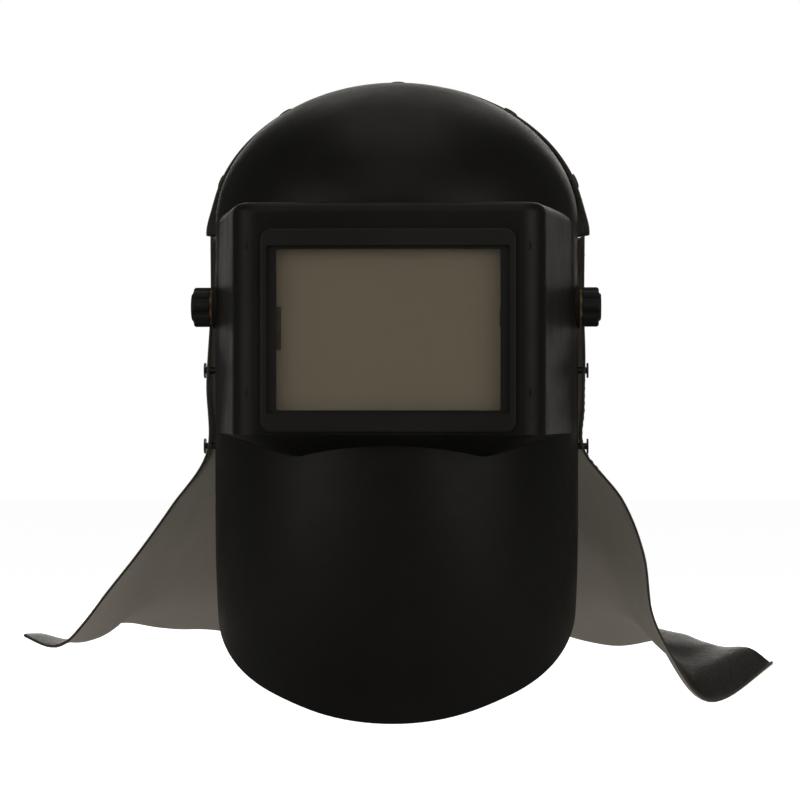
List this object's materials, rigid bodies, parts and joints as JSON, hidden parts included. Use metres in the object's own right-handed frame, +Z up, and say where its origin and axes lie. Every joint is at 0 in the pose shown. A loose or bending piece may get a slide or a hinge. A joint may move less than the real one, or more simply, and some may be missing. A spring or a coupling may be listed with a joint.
{
  "type": "welding helmet",
  "caption": "Full-face welding helmet: moulded shell with a rectangular filter window, tilting ratchet headgear, temple tension knobs and a leather neck cape.",
  "frame": {"origin": "middle of the line between the two temple pivots, the middle of the wearer's head", "axes": "+Z up, the face and the lens window look towards -Y, +X to the right of someone facing the helmet"},
  "size_m": [0.4736, 0.319, 0.3823],
  "materials": {
    "shell_plastic": "black satin moulded nylon",
    "bezel_plastic": "black satin moulded nylon",
    "clear_plate": "clear polycarbonate",
    "filter_glass": "very dark green filter glass",
    "holder_plastic": "black moulded plastic",
    "gasket_rubber": "soft black rubber",
    "spring_steel": "tempered spring steel",
    "zinc_steel": "zinc-plated steel",
    "rivet_steel": "black enamelled steel",
    "cape_leather": "dark split leather, grey flesh side",
    "headgear_plastic": "black polyethylene",
    "sweat_leather": "perforated brown leatherette over foam",
    "knob_plastic": "black glass-filled nylon",
    "brass": "turned brass",
    "washer_fibre": "natural friction fibre",
    "pad_foam": "foam laminated with knit fabric"
  },
  "bodies": {
    "headgear": {"head_band": "headgear_plastic", "band_tail_left": "headgear_plastic", "band_tail_right": "headgear_plastic", "sweatband": "sweat_leather", "pivot_arm_left": "headgear_plastic", "pivot_arm_right": "headgear_plastic", "arm_rivets": "zinc_steel", "temple_stud_left": "zinc_steel", "temple_stud_right": "zinc_steel", "stop_plate_left": "zinc_steel", "stop_plate_right": "zinc_steel", "inner_washer_left": "washer_fibre", "inner_washer_right": "washer_fibre", "outer_washer_left": "washer_fibre", "outer_washer_right": "washer_fibre", "crown_pivots": "zinc_steel"},
    "shell": {"helmet_shell": "shell_plastic", "lens_frame": "bezel_plastic", "cover_plate": "clear_plate", "lens_gasket": "gasket_rubber", "plate_spring_left": "spring_steel", "plate_spring_right": "spring_steel", "filter_plate": "filter_glass", "inner_plate": "clear_plate", "lens_holder": "holder_plastic", "holder_screws": "zinc_steel", "cape_hood": "cape_leather", "cape_skirt": "cape_leather", "crown_rivets": "rivet_steel", "skirt_rivets": "rivet_steel"},
    "knob_left": {"tension_knob_left": "knob_plastic", "knob_nut_left": "brass"},
    "knob_right": {"tension_knob_right": "knob_plastic", "knob_nut_right": "brass"},
    "crown": {"crown_strap_left": "headgear_plastic", "crown_strap_right": "headgear_plastic", "crown_peg": "knob_plastic"},
    "ratchet": {"ratchet_base": "headgear_plastic", "ratchet_cover": "headgear_plastic", "ratchet_screws": "zinc_steel", "click_ring": "knob_plastic", "nape_pad": "pad_foam"},
    "ratchet_dial": {"ratchet_pinion": "knob_plastic", "ratchet_knob": "knob_plastic", "knob_screw": "zinc_steel"}
  },
  "joints": [
    {"name": "visor_tilt", "type": "hinge", "parent": "headgear", "child": "shell", "pos_m": [0, 0, 0], "axis": [-1, 0, 0], "range_deg": [0, 80]},
    {"name": "knob_turn_left", "type": "hinge", "parent": "headgear", "child": "knob_left", "pos_m": [-0.118, 0, 0], "axis": [-1, 0, 0], "range_deg": [-270, 90]},
    {"name": "knob_turn_right", "type": "hinge", "parent": "headgear", "child": "knob_right", "pos_m": [0.118, 0, 0], "axis": [1, 0, 0], "range_deg": [-270, 90]},
    {"name": "crown_strap_swing", "type": "hinge", "parent": "headgear", "child": "crown", "pos_m": [0, 0.034, -0.0013], "axis": [1, 0, 0], "range_deg": [-20, 6]},
    {"name": "band_size", "type": "slide", "parent": "headgear", "child": "ratchet", "axis": [0, 0.9291, -0.3697], "range_m": [-0.015, 0.006], "deforming": ["band_tail_left", "band_tail_right"]},
    {"name": "ratchet_turn", "type": "hinge", "parent": "ratchet", "child": "ratchet_dial", "pos_m": [0, 0.1117, -0.03217], "axis": [0, 0.9291, -0.3697], "range_deg": [-62, 154]}
  ],
  "couplings": [
    {"joint": "ratchet_turn", "follows": "band_size", "rad_per_m": -178.57}
  ]
}
